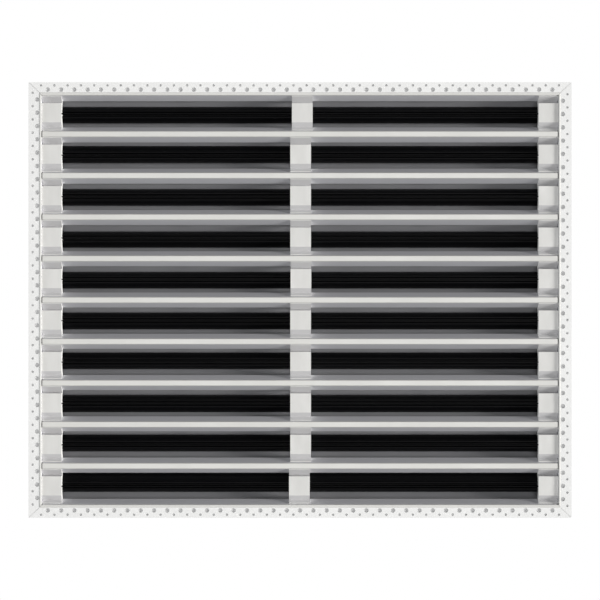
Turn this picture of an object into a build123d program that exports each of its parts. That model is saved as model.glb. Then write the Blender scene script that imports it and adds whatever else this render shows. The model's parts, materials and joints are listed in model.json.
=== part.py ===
from build123d import *
import os

# Plaster-in slot grille for a nominal 20 x 16 inch wall opening.
# X runs along the slots, +Z is up and -Y faces the room. Y = 0 is the wall surface, which is also
# the back of the perforated flange, and the origin is the centre of the opening in that plane.
# Section points are written as (depth behind the face plane, height), both in millimetres.

# Frame
SLOTS = 10
PITCH = 40.0
NECK_W = 502.2
NECK_H = SLOTS * PITCH
FLANGE_W = 10.0
FLANGE_T = 1.5
LIP_H = 0.3
LIP_W = 2.4
END_FLANGE_W = 10.7
END_LIP_W = 1.7
WALL = 1.5
DEPTH = 38.0
EDGE_R = 0.5
MITRE_GAP = 0.16

FACE_Y = -(FLANGE_T + LIP_H)
REAR_Y = FACE_Y + DEPTH
INNER_X = NECK_W / 2 - END_LIP_W
OUTER_X = NECK_W / 2 + END_FLANGE_W
OUTER_Z = NECK_H / 2 + FLANGE_W
FRAME_LENGTH = 2 * OUTER_X + 10

# Holes punched in the flange for screws and joint compound: a row of large ones and a row of small ones.
# Each row's distance is from the neck, and the left border's strip was punched a little out of step.
PERF_PITCH = 12.8
LARGE_HOLE_R = 2.1
SMALL_HOLE_R = 1.15
LONG_ROWS = (2.8, 6.9)
END_ROWS = (2.3, 6.6)
LARGE_ACROSS = 39
LARGE_DOWN = 31
LEFT_HOLES_SHIFT = 1.3

# Divider bar between two slots: a thin face that flares to a wide hollow body
FLARE = (7.3, 10.0)
LEDGE = (6.5, 10.6)
THROAT_MID = (9.0, 18.5)
THROAT = (14.0, 27.0)
BAR_END = INNER_X - 1.0
WEB_DEPTH = 20.0
WEB_T = 1.3
WEB_W = 18.6
PORT_R = 3.2
PORT_HOLE_R = 1.8
PORT_DEPTHS = (WEB_DEPTH, DEPTH - 4.2)

# Blades, the fixed vane between them, and the moulded clips that carry both
BEAD_OFFSET = 3.0
BEAD_DEPTH = 9.0
BEAD_R = 1.5
BEAD_CLEARANCE = 0.08
BLADE_T = 1.0
BLADE_LENGTH = 9.5
BLADE_CROWN = 0.8
TIP_R = 0.75
BLADE_SPAN = 2 * (INNER_X - 0.8)
VANE_T = 1.0
VANE_FRONT = 2.6
VANE_BACK = 12.7
VANE_FOOT_W = 4.6
# Angle of each blade from straight back, from the top slot to the bottom one, as they were left.
UPPER_ANGLES = (26, 39, 26, 18, 22, 25, 32, 23, 33, 61)
LOWER_ANGLES = (27, 18, 28, 34, 32, 30, 22, 34, 23, 19)

CLIP_W = 20.0
END_CLIP_W = 19.0
CLIP_GAP = 0.2
# Front of a clip, outwards from its flat face: the upper side steps down to a wing that lies on the bar
# above, and the lower side bends back more gently and stops short of the bar below.
CLIP_FACE = 1.5
CLIP_TOP = [(CLIP_FACE, 9.9), (7.6, 10.6), (1.0, 16.5), (1.0, 16.95)]
CLIP_BOTTOM = [(CLIP_FACE, 8.6), (2.8, 10.8), (4.6, 12.9), (2.2, 15.7), (2.2, 16.35)]
SOCKET_R = BEAD_R + BEAD_CLEARANCE
SOCKET_WALL = 1.0
SLIT = VANE_T / 2 + 0.05
CLIP_END_X = INNER_X - CLIP_GAP - END_CLIP_W / 2
# Distance of each slot's middle clip to the right of centre, as they were pressed in by hand.
CLIP_SHIFTS = (2.2, 0.6, 0.6, 0.6, 0.9, 0.6, 0.6, 0.6, 0.6, -0.6)

# Fixings
SCREW_R = 1.7
SCREW_HEAD_R = 3.2
SCREW_HEAD_H = 1.8
SCREW_LENGTH = 14.0
SCREW_HOLE_R = 2.0
STRAP_X = 118.0
STRAP_W = 16.0
STRAP_T = 2.0
RIVET_R = 1.6
RIVET_HEAD_R = 3.0
RIVET_HEAD_H = 1.2
RIVET_BULB_R = 2.4
RIVET_BULB_H = 1.6
RIVET_HOLE_R = 1.65
BRACKET_LEG = 28.0
BRACKET_T = 1.5
BRACKET_DEPTH = 14.0
BRACKET_Y = 22.0
BRACKET_HOLES = (6.0, 21.0)

SLOT_CENTRES = [NECK_H / 2 - PITCH * (k + 0.5) for k in range(SLOTS)]
BAR_CENTRES = [NECK_H / 2 - PITCH * (k + 1) for k in range(SLOTS - 1)]


def section_plane(z):
    """Plane of a section along X: local X is depth behind the face plane, local Y is height above z."""
    return Plane(origin=(0, FACE_Y, z), x_dir=(0, 1, 0), z_dir=(1, 0, 0))


def save(part, name):
    part.label = name
    export_step(part, f"parts/{name}.step")


def flare_outline(side):
    """Lines of one flared side of a bar, from the face plane to the rear, on the side given by +1 or -1."""
    Polyline((0, side * LIP_W), (FLARE[1], side * FLARE[0]), (LEDGE[1], side * LEDGE[0]))
    ThreePointArc(
        (LEDGE[1], side * LEDGE[0]),
        (THROAT_MID[1], side * THROAT_MID[0]),
        (THROAT[1], side * THROAT[0]),
    )
    Line((THROAT[1], side * THROAT[0]), (DEPTH, side * THROAT[0]))


def flange_rows(count, rows):
    """A flange's two rows of holes: (number of holes, distance from the neck, radius)."""
    return ((count, rows[0], LARGE_HOLE_R), (count + 1, rows[1], SMALL_HOLE_R))


def long_frame(side):
    """Top (+1) or bottom (-1) border: flange, raised lip and a hollow body with half a bar's flare."""
    edge = NECK_H / 2
    with BuildPart() as border:
        with BuildSketch(section_plane(side * edge)) as body:
            with BuildLine():
                Line((0, 0), (0, -side * LIP_W))
                flare_outline(-side)
                Polyline((DEPTH, -side * THROAT[0]), (DEPTH, 0), (0, 0))
            make_face()
            offset(amount=-WALL, kind=Kind.INTERSECTION, mode=Mode.SUBTRACT)
            fillet(body.vertices().group_by(Axis.X)[0], EDGE_R)
            with Locations((LIP_H + FLANGE_T / 2, side * FLANGE_W / 2)):
                Rectangle(FLANGE_T, FLANGE_W)
        extrude(amount=FRAME_LENGTH / 2, both=True)
        lip_z = edge - LIP_W
        with BuildSketch(Plane.XZ.offset(-DEPTH)):
            with BuildLine():
                Polyline(
                    (-BAR_END, side * (edge - 2 * PITCH)),
                    (-BAR_END, side * lip_z),
                    (-INNER_X + MITRE_GAP, side * lip_z),
                    (-NECK_W / 2 + MITRE_GAP, side * edge),
                    (-OUTER_X + MITRE_GAP, side * OUTER_Z),
                    (OUTER_X - MITRE_GAP, side * OUTER_Z),
                    (NECK_W / 2 - MITRE_GAP, side * edge),
                    (INNER_X - MITRE_GAP, side * lip_z),
                    (BAR_END, side * lip_z),
                    (BAR_END, side * (edge - 2 * PITCH)),
                    close=True,
                )
            make_face()
        extrude(amount=3 * DEPTH, mode=Mode.INTERSECT)
        with BuildSketch(Plane.XZ.offset(1)):
            for count, row, radius in flange_rows(LARGE_ACROSS, LONG_ROWS):
                with Locations((0, side * (edge + row))):
                    with GridLocations(PERF_PITCH, 1, count, 1):
                        Circle(radius)
        extrude(amount=3 * FLANGE_T, both=True, mode=Mode.SUBTRACT)
        with BuildSketch(Plane.XZ.offset(-REAR_Y)):
            with Locations(*[(x, side * (edge - THROAT[0] / 2)) for x in (-STRAP_X, STRAP_X)]):
                Circle(RIVET_HOLE_R)
        extrude(amount=2 * WALL, both=True, mode=Mode.SUBTRACT)
        with BuildSketch(Plane.XY.offset(side * edge)):
            for sign in (-1, 1):
                with Locations(*[(sign * (NECK_W / 2 - h), BRACKET_Y) for h in BRACKET_HOLES]):
                    Circle(RIVET_HOLE_R)
        extrude(amount=2 * WALL, both=True, mode=Mode.SUBTRACT)
    return border.part


def end_frame(side):
    """Left (-1) or right (+1) border: flange, raised lip and a plain neck wall with the bars' screw holes."""
    edge = side * NECK_W / 2
    with BuildPart() as border:
        with BuildSketch() as body:
            with Locations((edge - side * END_LIP_W / 2, FACE_Y / 2)):
                Rectangle(END_LIP_W, -FACE_Y)
            fillet(body.vertices().group_by(Axis.Y)[0], EDGE_R)
            with Locations((edge - side * WALL / 2, (FACE_Y + REAR_Y) / 2 + EDGE_R)):
                Rectangle(WALL, DEPTH - 2 * EDGE_R)
            with Locations((edge + side * END_FLANGE_W / 2, -FLANGE_T / 2)):
                Rectangle(END_FLANGE_W, FLANGE_T)
        extrude(amount=OUTER_Z, both=True)
        with BuildSketch(Plane.XZ.offset(-DEPTH)):
            with BuildLine():
                lip_z = NECK_H / 2 - LIP_W
                Polyline(
                    (side * INNER_X, lip_z - MITRE_GAP),
                    (edge, NECK_H / 2 - MITRE_GAP),
                    (side * OUTER_X, OUTER_Z - MITRE_GAP),
                    (side * OUTER_X, -OUTER_Z + MITRE_GAP),
                    (edge, -NECK_H / 2 + MITRE_GAP),
                    (side * INNER_X, -lip_z + MITRE_GAP),
                    close=True,
                )
            make_face()
        extrude(amount=3 * DEPTH, mode=Mode.INTERSECT)
        with BuildSketch(Plane.XZ.offset(1)):
            for count, row, radius in flange_rows(LARGE_DOWN, END_ROWS):
                with Locations((edge + side * row, LEFT_HOLES_SHIFT if side < 0 else 0)):
                    with GridLocations(1, PERF_PITCH, 1, count):
                        Circle(radius)
        extrude(amount=3 * FLANGE_T, both=True, mode=Mode.SUBTRACT)
        with BuildSketch(Plane.YZ.offset(edge)):
            with Locations(*[(FACE_Y + d, z) for z in BAR_CENTRES for d in PORT_DEPTHS]):
                Circle(SCREW_HOLE_R)
            for sign in (-1, 1):
                with Locations(*[(BRACKET_Y, sign * (NECK_H / 2 - h)) for h in BRACKET_HOLES]):
                    Circle(RIVET_HOLE_R)
        extrude(amount=3 * WALL, both=True, mode=Mode.SUBTRACT)
    return border.part


def divider_bar(z):
    """Hollow flared bar between two slots, with a web and two screw ports."""
    with BuildPart() as bar:
        with BuildSketch(section_plane(z)) as body:
            with BuildLine():
                Line((0, -LIP_W), (0, LIP_W))
                flare_outline(1)
                Line((DEPTH, THROAT[0]), (DEPTH, -THROAT[0]))
                flare_outline(-1)
            make_face()
            offset(amount=-WALL, kind=Kind.INTERSECTION, mode=Mode.SUBTRACT)
            fillet(body.vertices().group_by(Axis.X)[0], EDGE_R)
            with Locations((WEB_DEPTH, 0)):
                Rectangle(WEB_T, WEB_W)
            with Locations(*[(d, 0) for d in PORT_DEPTHS]):
                Circle(PORT_R)
                Circle(PORT_HOLE_R, mode=Mode.SUBTRACT)
        extrude(amount=BAR_END, both=True)
        with BuildSketch(Plane.XZ.offset(-REAR_Y)):
            with Locations(*[(x, z + THROAT[0] / 2) for x in (-STRAP_X, STRAP_X)]):
                Circle(RIVET_HOLE_R)
        extrude(amount=2 * WALL, both=True, mode=Mode.SUBTRACT)
    return bar.part


def blade_plane(z, side, angle):
    """Plane of a blade's section: origin on its bead, local X out along the blade."""
    along = Vector(0, 1, 0).rotate(Axis.X, side * angle)
    origin = (0, FACE_Y + BEAD_DEPTH, z + side * BEAD_OFFSET)
    return Plane(origin=origin, x_dir=along, z_dir=(1, 0, 0))


def blade(z, side, angle):
    """Black deflector blade above (+1) or below (-1) a slot's middle, with a hinge bead on its front edge."""
    with BuildPart() as vane:
        with BuildSketch(blade_plane(z, side, angle)):
            with BuildLine():
                SagittaArc((0, 0), (BLADE_LENGTH, 0), side * BLADE_CROWN)
            trace(line_width=BLADE_T)
            Circle(BEAD_R)
            with Locations((BLADE_LENGTH, 0)):
                Circle(TIP_R)
        extrude(amount=BLADE_SPAN / 2, both=True)
    return vane.part


def centre_vane(z):
    """Fixed black T strip between a slot's two blades: its foot closes the gaps behind their beads."""
    with BuildPart() as strip:
        with BuildSketch(section_plane(z)) as body:
            with Locations(((VANE_FRONT + VANE_BACK) / 2, 0)):
                Rectangle(VANE_BACK - VANE_FRONT, VANE_T)
            fillet(body.vertices().group_by(Axis.X)[0], 0.9 * VANE_T / 2)
            with Locations((VANE_BACK - VANE_T / 2, 0)):
                Rectangle(VANE_T, VANE_FOOT_W)
        extrude(amount=BLADE_SPAN / 2, both=True)
    return strip.part


def clip_half(side, front):
    """Outline of one half of a clip, from the middle of its face out to the bar, round its barb, and back."""
    barb = [(9.9, 12.6), (10.75, 12.6), (10.95, 13.1), (11.5, 13.0), (11.7, 12.4)]
    rear = [(11.0, 11.4), (9.3, 8.0), (8.0, 5.2), (8.0, 0)]
    Polyline(*[(depth, side * height) for depth, height in [(CLIP_FACE, 0)] + front + barb + rear])


def clip_block(x, z, width):
    """White moulded clip hooked behind the bars' ledges: flat face, a wing to each bar, two bead sockets."""
    reach = SOCKET_R + SOCKET_WALL + 0.4
    with BuildPart() as clip:
        with BuildSketch(section_plane(z)):
            with BuildLine():
                clip_half(1, CLIP_TOP)
                clip_half(-1, CLIP_BOTTOM)
            make_face()
            with Locations((BEAD_DEPTH, BEAD_OFFSET), (BEAD_DEPTH, -BEAD_OFFSET)):
                Circle(SOCKET_R + SOCKET_WALL)
                Circle(SOCKET_R, mode=Mode.SUBTRACT)
            for side in (1, -1):
                with BuildLine():
                    Polyline(
                        (BEAD_DEPTH, side * BEAD_OFFSET),
                        (BEAD_DEPTH + reach, side * (BEAD_OFFSET - reach / 2)),
                        (BEAD_DEPTH + reach, side * (BEAD_OFFSET + reach)),
                        (BEAD_DEPTH - reach / 6, side * (BEAD_OFFSET + reach)),
                        close=True,
                    )
                make_face(mode=Mode.SUBTRACT)
            with Locations(((VANE_FRONT - 0.1 + DEPTH) / 2, 0)):
                Rectangle(DEPTH - VANE_FRONT + 0.1, 2 * SLIT, mode=Mode.SUBTRACT)
        extrude(amount=width / 2, both=True)
    return Pos(x, 0, 0) * clip.part


def screws_and_spacers():
    """Pan head screws through the end walls into the bars' ports, and the spacer rings they pass through."""
    gap = NECK_W / 2 - WALL - BAR_END
    with BuildPart() as screws:
        for side in (-1, 1):
            with BuildSketch(Plane.YZ.offset(side * NECK_W / 2)):
                with Locations(*[(FACE_Y + d, z) for z in BAR_CENTRES for d in PORT_DEPTHS]):
                    Circle(SCREW_HEAD_R)
            extrude(amount=side * SCREW_HEAD_H)
            with BuildSketch(Plane.YZ.offset(side * NECK_W / 2)):
                with Locations(*[(FACE_Y + d, z) for z in BAR_CENTRES for d in PORT_DEPTHS]):
                    Circle(SCREW_R)
            extrude(amount=-side * SCREW_LENGTH)
        heads = screws.faces().filter_by(Axis.X).filter_by(lambda f: abs(f.center().X) > NECK_W / 2 + 1)
        chamfer(heads.edges(), 0.6)
    with BuildPart() as spacers:
        for side in (-1, 1):
            with BuildSketch(Plane.YZ.offset(side * BAR_END)):
                with Locations(*[(FACE_Y + d, z) for z in BAR_CENTRES for d in PORT_DEPTHS]):
                    Circle(PORT_R)
                    Circle(SCREW_HOLE_R, mode=Mode.SUBTRACT)
            extrude(amount=side * gap)
    return screws.part, spacers.part


def rear_strap(x):
    """Flat bar across the backs of all the divider bars."""
    length = NECK_H - THROAT[0]
    with BuildPart() as strap:
        with BuildSketch(Plane.XZ.offset(-REAR_Y)) as face:
            with Locations((x, 0)):
                Rectangle(STRAP_W, length + STRAP_W)
            fillet(face.vertices(), 2.0)
            with Locations(*[(x, z) for z in strap_rivet_heights()]):
                Circle(RIVET_HOLE_R, mode=Mode.SUBTRACT)
        extrude(amount=-STRAP_T)
    return strap.part


def strap_rivet_heights():
    ends = [side * (NECK_H / 2 - THROAT[0] / 2) for side in (1, -1)]
    return ends + [z + THROAT[0] / 2 for z in BAR_CENTRES]


def rivet(plane, grip):
    """Blind rivet: plane lies on the outer surface of the pieces held, and its normal points outwards."""
    with BuildPart() as made:
        with BuildSketch(plane):
            Circle(RIVET_HEAD_R)
        extrude(amount=RIVET_HEAD_H, taper=30)
        with BuildSketch(plane):
            Circle(RIVET_R)
        extrude(amount=-grip)
        with BuildSketch(plane.offset(-grip)):
            Circle(RIVET_BULB_R)
        extrude(amount=-RIVET_BULB_H)
    return made.part


def corner_bracket(x_side, z_side):
    """Angle outside one corner of the neck, riveted to both walls."""
    corner = (x_side * NECK_W / 2, z_side * NECK_H / 2)
    with BuildPart() as bracket:
        with BuildSketch(Plane.XZ.offset(-BRACKET_Y)):
            with Locations(
                (corner[0] + x_side * (BRACKET_T - BRACKET_LEG) / 2, corner[1] + z_side * BRACKET_T / 2)
            ):
                Rectangle(BRACKET_LEG + BRACKET_T, BRACKET_T)
            with Locations(
                (corner[0] + x_side * BRACKET_T / 2, corner[1] + z_side * (BRACKET_T - BRACKET_LEG) / 2)
            ):
                Rectangle(BRACKET_T, BRACKET_LEG + BRACKET_T)
        extrude(amount=BRACKET_DEPTH / 2, both=True)
        with BuildSketch(Plane.XY.offset(corner[1])):
            with Locations(*[(corner[0] - x_side * h, BRACKET_Y) for h in BRACKET_HOLES]):
                Circle(RIVET_HOLE_R)
        extrude(amount=2 * BRACKET_T, both=True, mode=Mode.SUBTRACT)
        with BuildSketch(Plane.YZ.offset(corner[0])):
            with Locations(*[(BRACKET_Y, corner[1] - z_side * h) for h in BRACKET_HOLES]):
                Circle(RIVET_HOLE_R)
        extrude(amount=2 * BRACKET_T, both=True, mode=Mode.SUBTRACT)
    return bracket.part


def bracket_rivets(x_side, z_side):
    made = []
    for h in BRACKET_HOLES:
        across = (x_side * (NECK_W / 2 - h), BRACKET_Y, z_side * (NECK_H / 2 + BRACKET_T))
        made.append(rivet(Plane(origin=across, z_dir=(0, 0, z_side)), WALL + BRACKET_T))
        down = (x_side * (NECK_W / 2 + BRACKET_T), BRACKET_Y, z_side * (NECK_H / 2 - h))
        made.append(rivet(Plane(origin=down, z_dir=(x_side, 0, 0)), WALL + BRACKET_T))
    return made


os.makedirs("parts", exist_ok=True)

save(long_frame(1), "frame_top")
save(long_frame(-1), "frame_bottom")
save(end_frame(-1), "frame_left")
save(end_frame(1), "frame_right")

for number, z in enumerate(BAR_CENTRES, 1):
    save(divider_bar(z), f"divider_bar_{number}")

for number, z in enumerate(SLOT_CENTRES, 1):
    save(blade(z, 1, UPPER_ANGLES[number - 1]), f"upper_blade_{number}")
    save(blade(z, -1, LOWER_ANGLES[number - 1]), f"lower_blade_{number}")
    save(centre_vane(z), f"centre_vane_{number}")

for name, side in (("left", -1), ("right", 1)):
    end_clips = [clip_block(side * CLIP_END_X, z, END_CLIP_W) for z in SLOT_CENTRES]
    save(Compound(children=end_clips), f"{name}_clips")
middle_clips = [clip_block(x, z, CLIP_W) for x, z in zip(CLIP_SHIFTS, SLOT_CENTRES)]
save(Compound(children=middle_clips), "centre_clips")

end_screws, end_spacers = screws_and_spacers()
save(end_screws, "bar_screws")
save(end_spacers, "bar_spacers")

for name, x in (("left", -STRAP_X), ("right", STRAP_X)):
    save(rear_strap(x), f"rear_strap_{name}")
strap_rivets = [
    rivet(Plane(origin=(x, REAR_Y + STRAP_T, z), z_dir=(0, 1, 0)), WALL + STRAP_T)
    for x in (-STRAP_X, STRAP_X)
    for z in strap_rivet_heights()
]
save(Compound(children=strap_rivets), "strap_rivets")

corners = [(x_side, z_side) for x_side in (-1, 1) for z_side in (-1, 1)]
save(Compound(children=[corner_bracket(*c) for c in corners]), "corner_brackets")
save(Compound(children=[r for c in corners for r in bracket_rivets(*c)]), "corner_rivets")
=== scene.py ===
import bpy
import json
import math
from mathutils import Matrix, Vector


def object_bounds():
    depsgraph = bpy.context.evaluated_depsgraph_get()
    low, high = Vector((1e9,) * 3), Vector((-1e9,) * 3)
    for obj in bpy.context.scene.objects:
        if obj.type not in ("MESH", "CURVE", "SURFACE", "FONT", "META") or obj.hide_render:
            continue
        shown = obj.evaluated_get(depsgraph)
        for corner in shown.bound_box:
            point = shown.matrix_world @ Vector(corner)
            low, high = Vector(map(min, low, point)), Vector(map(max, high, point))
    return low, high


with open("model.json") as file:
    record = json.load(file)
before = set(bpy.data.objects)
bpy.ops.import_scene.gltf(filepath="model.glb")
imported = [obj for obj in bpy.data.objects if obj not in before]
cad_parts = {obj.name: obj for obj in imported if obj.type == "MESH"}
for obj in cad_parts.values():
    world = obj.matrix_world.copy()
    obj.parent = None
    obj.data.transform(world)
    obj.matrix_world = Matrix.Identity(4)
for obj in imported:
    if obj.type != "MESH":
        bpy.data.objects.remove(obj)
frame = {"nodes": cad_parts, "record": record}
cad_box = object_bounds()
nodes = frame["nodes"]

# Sizes in metres, in the part's own frame: X along the slots, Z up, -Y out into the room.
CAMERA_DISTANCE = 1.75
VIEW_WIDTH = 0.5783
SENSOR = 36.0
FLOOR_DROP = 1.0
FLOOR_SIZE = 10.0
FLANGE_W = 0.010
END_FLANGE_W = 0.0107
NECK_SEAM = 0.0002
CLIP_EDGE_R = 0.0005
BACKING_GAP = 0.0001
BACKING_INSET = 0.0005

# Painted shade: the colour darkens on the flares and again in the throats, between these depths behind the
# face.
FLARE_START = (0.0006, 0.0014)
THROAT_START = (0.0106, 0.0125)
THROAT_END = (0.028, 0.037)

# Colours of those two painted-shade stretches, of the flange's punched and cut edges (a bare-metal grey
# that also paints shade into the holes), and of the dust on the blades
FLARE_SHADE = (0.64, 0.64, 0.675)
THROAT_SHADE = (0.39, 0.39, 0.41)
EDGE_AND_SHADE_GREY = (0.55, 0.55, 0.55)
BLADE_DUST = (0.3, 0.29, 0.27)

low, high = cad_box
neck_x = high.x - END_FLANGE_W
neck_z = high.z - FLANGE_W


class Graph:
    """Node tree of a new material, with short calls for the nodes that the finishes share."""

    def __init__(self, name):
        self.material = bpy.data.materials.new(name)
        self.material.use_nodes = True
        self.tree = self.material.node_tree
        self.shader = self.tree.nodes["Principled BSDF"]
        self.place = self.add("ShaderNodeTexCoord").outputs["Object"]

    def add(self, kind, **settings):
        node = self.tree.nodes.new(kind)
        for key, value in settings.items():
            if hasattr(node, key):
                setattr(node, key, value)
            else:
                node.inputs[key.replace("_", " ")].default_value = value
        return node

    def link(self, source, target):
        self.tree.links.new(source, target)

    def stretch(self, x, y, z):
        """Object coordinates scaled by x, y and z."""
        mapping = self.add("ShaderNodeMapping")
        mapping.inputs["Scale"].default_value = (x, y, z)
        self.link(self.place, mapping.inputs["Vector"])
        return mapping.outputs["Vector"]

    def noise(self, vector, scale, detail=2.0, roughness=0.5):
        node = self.add("ShaderNodeTexNoise", Scale=scale, Detail=detail, Roughness=roughness)
        self.link(vector, node.inputs["Vector"])
        return node.outputs["Fac"]

    def math(self, operation, first, second):
        """One operation on two values, each of them a number or a socket."""
        node = self.add("ShaderNodeMath", operation=operation)
        for socket, value in zip(node.inputs, (first, second)):
            if isinstance(value, (int, float)):
                socket.default_value = value
            else:
                self.link(value, socket)
        return node.outputs["Value"]

    def axis(self, name):
        """One of the object coordinates, in metres."""
        if not hasattr(self, "axes"):
            self.axes = self.add("ShaderNodeSeparateXYZ")
            self.link(self.place, self.axes.inputs["Vector"])
        return self.axes.outputs[name]

    def tilt(self, name):
        """How far a face turns towards one of the object's axes, from 0 to 1."""
        facing = self.add("ShaderNodeSeparateXYZ")
        self.link(self.place.node.outputs["Normal"], facing.inputs["Vector"])
        return self.math("ABSOLUTE", facing.outputs[name], 0.0)

    def span(self, value, first, last, start=0.0, end=1.0):
        """Value from start to end mapped to first to last."""
        node = self.add("ShaderNodeMapRange")
        for socket, number in zip(("From Min", "From Max", "To Min", "To Max"), (start, end, first, last)):
            node.inputs[socket].default_value = number
        self.link(value, node.inputs["Value"])
        return node.outputs["Result"]

    def blend(self, factor, first, second):
        """Colour that goes from first to second with factor. Each colour is a tuple or a socket."""
        node = self.add("ShaderNodeMix", data_type="RGBA")
        self.link(factor, node.inputs["Factor"])
        for socket, colour in ((node.inputs[6], first), (node.inputs[7], second)):
            if isinstance(colour, tuple):
                socket.default_value = (*colour, 1.0)
            else:
                self.link(colour, socket)
        return node.outputs[2]

    def bump(self, height, strength, distance, under=None):
        node = self.add("ShaderNodeBump", Strength=strength, Distance=distance)
        self.link(height, node.inputs["Height"])
        if under is not None:
            self.link(under, node.inputs["Normal"])
        return node.outputs["Normal"]

    def finish(self, colour, roughness, normal):
        self.link(colour, self.shader.inputs["Base Color"])
        self.link(roughness, self.shader.inputs["Roughness"])
        self.link(normal, self.shader.inputs["Normal"])
        return self.material


def scaled(colour, share):
    return tuple(share * c for c in colour)


def powder_coat(name, paint, primer, gloss):
    """Baked powder paint: an orange-peel skin, faint mottling and a little dust.
    Painted shade darkens the flares and the throats, and the flange has the primer's colour."""
    g = Graph(name)
    peel = g.noise(g.place, 900.0, 3.0, 0.45)
    mottle = g.noise(g.place, 14.0, 4.0, 0.6)
    dust = g.noise(g.stretch(0.25, 1.0, 1.0), 60.0, 5.0, 0.65)
    colour = g.blend(g.span(mottle, 0.0, 1.0, 0.3, 0.7), paint, scaled(paint, 0.965))
    # Painted shade: deeper faces on the flares and in the throats get darker colours, fading out again
    # towards the rear.
    depth = g.math("SUBTRACT", g.axis("Y"), low.y)
    front = g.span(depth, 1.0, 0.0, *THROAT_END)
    for start, shade_colour in ((FLARE_START, FLARE_SHADE), (THROAT_START, THROAT_SHADE)):
        painted_shade = g.span(depth, 0.0, 1.0, *start)
        colour = g.blend(g.math("MULTIPLY", painted_shade, front), colour, shade_colour)
    beyond_x = g.math("SUBTRACT", g.math("ABSOLUTE", g.axis("X"), 0.0), neck_x)
    beyond_z = g.math("SUBTRACT", g.math("ABSOLUTE", g.axis("Z"), 0.0), neck_z)
    outside = g.math("GREATER_THAN", g.math("MAXIMUM", beyond_x, beyond_z), NECK_SEAM)
    colour = g.blend(outside, colour, primer)
    # Punched and cut edges of the flange: a bare-metal grey, which also paints shade into the holes.
    edge_and_shade_mask = g.math("MULTIPLY", outside, g.math("LESS_THAN", g.tilt("Y"), 0.5))
    colour = g.blend(edge_and_shade_mask, colour, EDGE_AND_SHADE_GREY)
    grime = g.blend(g.span(dust, 0.0, 0.12, 0.56, 0.8), colour, scaled(paint, 0.8))
    roughness = g.span(mottle, gloss, gloss + 0.12, 0.3, 0.7)
    normal = g.bump(peel, 0.18, 0.0002)
    return g.finish(grime, roughness, normal)


def black_coat(name, paint, gloss, sheen):
    """Matt black paint, streaked along the blade, with a trace of dust."""
    g = Graph(name)
    peel = g.noise(g.place, 700.0, 3.0, 0.45)
    mottle = g.noise(g.stretch(0.1, 1.0, 1.0), 40.0, 4.0, 0.6)
    dust = g.noise(g.stretch(0.2, 1.0, 1.0), 120.0, 6.0, 0.7)
    colour = g.blend(g.span(mottle, 0.0, 1.0, 0.3, 0.7), paint, scaled(paint, 0.6))
    grime = g.blend(g.span(dust, 0.0, 0.008, 0.55, 0.8), colour, BLADE_DUST)
    g.shader.inputs["Specular IOR Level"].default_value = sheen
    return g.finish(grime, g.span(mottle, gloss, gloss + 0.1, 0.3, 0.7), g.bump(peel, 0.12, 0.0002))


def moulded_plastic(name, light, dark, slope_shade=None):
    """Satin plastic with flow marks. Faces that slope up or down can get a painted shade, a greyer colour.
    """
    g = Graph(name)
    skin = g.noise(g.place, 2600.0, 2.0)
    flow = g.noise(g.stretch(1.0, 1.0, 0.35), 90.0, 3.0)
    colour = g.blend(g.span(flow, 0.0, 1.0, 0.35, 0.65), light, dark)
    if slope_shade:
        # Painted shade: faces that slope up or down turn greyer.
        colour = g.blend(g.span(g.tilt("Z"), 0.0, 1.0, 0.2, 0.45), colour, slope_shade)
    roughness = g.span(flow, 0.36, 0.5, 0.35, 0.65)
    normal = g.bump(skin, 0.15, 0.0001)
    return g.finish(colour, roughness, normal)


def brushed_metal(name, light, dark, fineness, stretch):
    """Bare metal with a grain, drawn out along an axis by a small stretch there, and faint stains."""
    g = Graph(name)
    grain = g.noise(g.stretch(*stretch), fineness, 4.0, 0.7)
    stain = g.noise(g.place, 22.0, 4.0, 0.6)
    colour = g.blend(g.span(stain, 0.0, 1.0, 0.35, 0.7), light, dark)
    roughness = g.span(grain, 0.26, 0.46, 0.3, 0.7)
    normal = g.bump(grain, 0.12, 0.0001)
    g.shader.inputs["Metallic"].default_value = 1.0
    return g.finish(colour, roughness, normal)


frame_paint = powder_coat("frame_paint", (0.76, 0.755, 0.73), (0.92, 0.92, 0.915), 0.34)
bar_paint = powder_coat("bar_paint", (0.76, 0.755, 0.725), (0.76, 0.755, 0.725), 0.32)
blade_paint = black_coat("blade_paint", (0.0016, 0.0016, 0.0022), 0.38, 0.1)
# The clips' sloping wings get a painted shade.
clip_moulding = moulded_plastic(
    "clip_moulding", (0.775, 0.77, 0.75), (0.74, 0.735, 0.715), slope_shade=(0.62, 0.615, 0.62)
)
spacer_nylon = moulded_plastic("spacer_nylon", (0.72, 0.70, 0.64), (0.66, 0.64, 0.58))
zinc = brushed_metal("zinc_plate", (0.63, 0.65, 0.67), (0.52, 0.54, 0.56), 700.0, (1.0, 1.0, 1.0))
mill = brushed_metal("mill_aluminium", (0.74, 0.75, 0.76), (0.64, 0.65, 0.66), 500.0, (1.0, 1.0, 0.04))

FINISHES = {
    "frame_powder_coat": frame_paint,
    "bar_powder_coat": bar_paint,
    "blade_black": blade_paint,
    "clip_plastic": clip_moulding,
    "zinc_steel": zinc,
    "spacer_nylon": spacer_nylon,
    "mill_aluminium": mill,
}
for entry in frame["record"]["subparts"]:
    node = nodes[entry["node"]]
    node.data.materials.clear()
    node.data.materials.append(FINISHES[entry["material_slot"]])
for name in ("left_clips", "centre_clips", "right_clips"):
    bevel = nodes[name].modifiers.new("soft_edges", "BEVEL")
    bevel.width = CLIP_EDGE_R
    bevel.segments = 3
    bevel.limit_method = "ANGLE"

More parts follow.
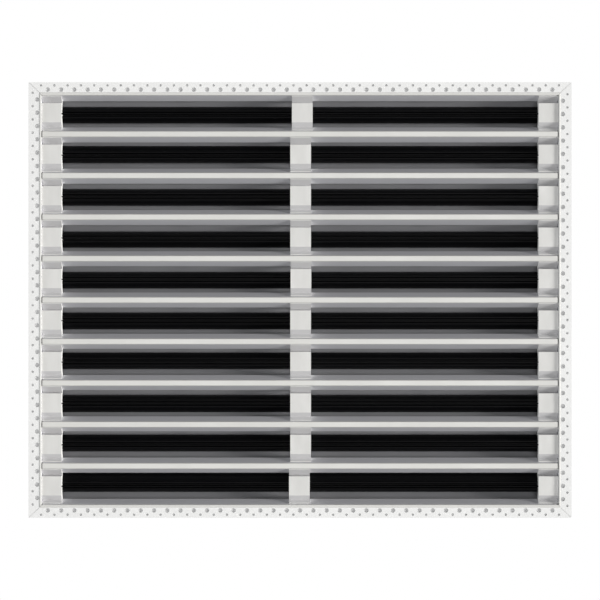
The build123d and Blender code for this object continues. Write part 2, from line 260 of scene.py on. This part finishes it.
# Stage
bpy.ops.mesh.primitive_plane_add(size=FLOOR_SIZE, location=(0, 0, low.z - FLOOR_DROP))
floor = bpy.context.object
floor.name = "studio_floor"
g = Graph("floor_paint")
tint = g.blend(g.noise(g.place, 3.0), (0.92, 0.92, 0.92), (0.88, 0.88, 0.88))
floor.data.materials.append(g.finish(tint, g.span(tint, 0.6, 0.7), g.bump(tint, 0.02, 0.001)))


def rectangle(x, z, depth):
    return [(sx * x, depth, sz * z) for sx, sz in ((-1, -1), (1, -1), (1, 1), (-1, 1))]


# The wall that the flange lies on is seen only through the flange's holes, and only from the room.
inner = rectangle(neck_x + NECK_SEAM, neck_z + NECK_SEAM, -BACKING_GAP)
outer = rectangle(high.x - BACKING_INSET, high.z - BACKING_INSET, -BACKING_GAP)
sides = [(k, (k + 1) % 4, 4 + (k + 1) % 4, 4 + k) for k in range(4)]
backing_mesh = bpy.data.meshes.new("wall_behind_flange")
backing_mesh.from_pydata(inner + outer, [], sides)
backing = bpy.data.objects.new("wall_behind_flange", backing_mesh)
bpy.context.scene.collection.objects.link(backing)
g = Graph("wall_plaster")
tint = g.blend(g.noise(g.place, 200.0), (0.92, 0.92, 0.92), (0.86, 0.86, 0.86))
backing_mesh.materials.append(g.finish(tint, g.span(tint, 0.7, 0.8), g.bump(tint, 0.05, 0.0005)))

# Light
world = bpy.data.worlds.new("studio")
bpy.context.scene.world = world
world.use_nodes = True
tree = world.node_tree
ambient = tree.nodes["Background"]
ambient.inputs["Color"].default_value = (1, 1, 1, 1)
ambient.inputs["Strength"].default_value = 0.05
backdrop = tree.nodes.new("ShaderNodeBackground")
backdrop.inputs["Color"].default_value = (1, 1, 1, 1)
backdrop.inputs["Strength"].default_value = 1.0
rays = tree.nodes.new("ShaderNodeLightPath")
choice = tree.nodes.new("ShaderNodeMixShader")
tree.links.new(rays.outputs["Is Camera Ray"], choice.inputs["Fac"])
tree.links.new(ambient.outputs["Background"], choice.inputs[1])
tree.links.new(backdrop.outputs["Background"], choice.inputs[2])
tree.links.new(choice.outputs["Shader"], tree.nodes["World Output"].inputs["Surface"])


def sun(name, across, rise, strength, spread, colour):
    """Lamp at infinity, across degrees right of straight in front and rise degrees above the horizon."""
    light = bpy.data.lights.new(name, "SUN")
    light.energy = strength
    light.angle = math.radians(spread)
    light.color = colour
    a, e = math.radians(across), math.radians(rise)
    towards = Vector((math.sin(a) * math.cos(e), -math.cos(a) * math.cos(e), math.sin(e)))
    lamp = bpy.data.objects.new(name, light)
    lamp.rotation_euler = towards.to_track_quat("Z", "Y").to_euler()
    bpy.context.scene.collection.objects.link(lamp)


sun("key_right", 75, 0, 5.0, 16, (1.0, 0.99, 0.97))
sun("fill_left", -75, 0, 1.0, 16, (0.94, 0.98, 1.0))
sun("front", 5, 0, 0.85, 25, (1, 1, 1))
sun("overhead", 180, 80, 0.3, 20, (1, 1, 1))
sun("rear", 165, 10, 1.4, 30, (1, 1, 1))

# Camera
camera_data = bpy.data.cameras.new("camera")
camera_data.sensor_width = SENSOR
camera_data.lens = SENSOR * CAMERA_DISTANCE / VIEW_WIDTH
camera = bpy.data.objects.new("camera", camera_data)
camera.location = (0, low.y - CAMERA_DISTANCE, 0)
camera.rotation_euler = (math.pi / 2, 0, 0)
bpy.context.scene.collection.objects.link(camera)
bpy.context.scene.camera = camera
bpy.context.scene.view_settings.view_transform = "Standard"
